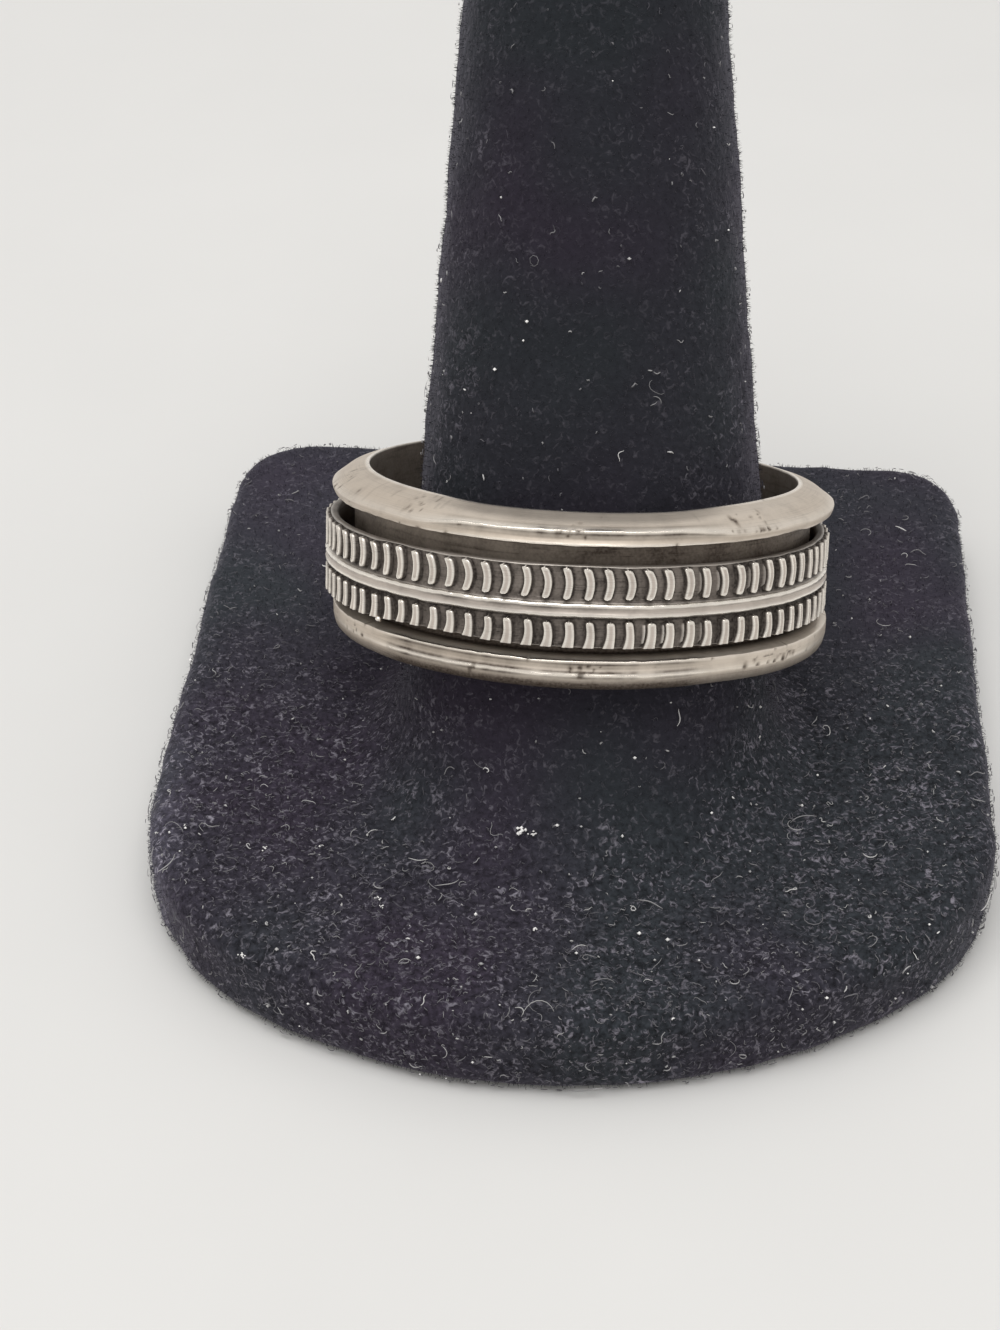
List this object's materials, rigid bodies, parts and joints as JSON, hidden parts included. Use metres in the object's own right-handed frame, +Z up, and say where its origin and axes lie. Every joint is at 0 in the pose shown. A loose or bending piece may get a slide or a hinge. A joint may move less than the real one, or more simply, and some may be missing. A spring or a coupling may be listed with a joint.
{
  "type": "spinner ring on a ring display stand",
  "caption": "Silver spinner ring with a loose band of raised crescent bars turning between two rims, seated on a leaning velvet finger stand with a D-shaped base.",
  "frame": {"origin": "middle of the stand's flat underside", "axes": "+Z up, +Y towards the stand's flat back, the way the finger leans, +X to the right seen from the curved front"},
  "size_m": [0.0406, 0.0456, 0.0507],
  "materials": {
    "ring_silver": "satin worn silver",
    "patterned_silver": "satin silver, darkened in the recesses",
    "base_velvet": "black velvet",
    "finger_velvet": "black velvet"
  },
  "bodies": {
    "stand": {"ring_band": "ring_silver", "stand_base": "base_velvet", "stand_finger": "finger_velvet"},
    "spinner": {"spinner_band": "patterned_silver"}
  },
  "joints": [
    {"name": "spinner_turn", "type": "hinge", "parent": "stand", "child": "spinner", "pos_m": [0, 0.0015, 0.01263], "axis": [0, 0.3987, 0.9171], "continuous": true}
  ]
}
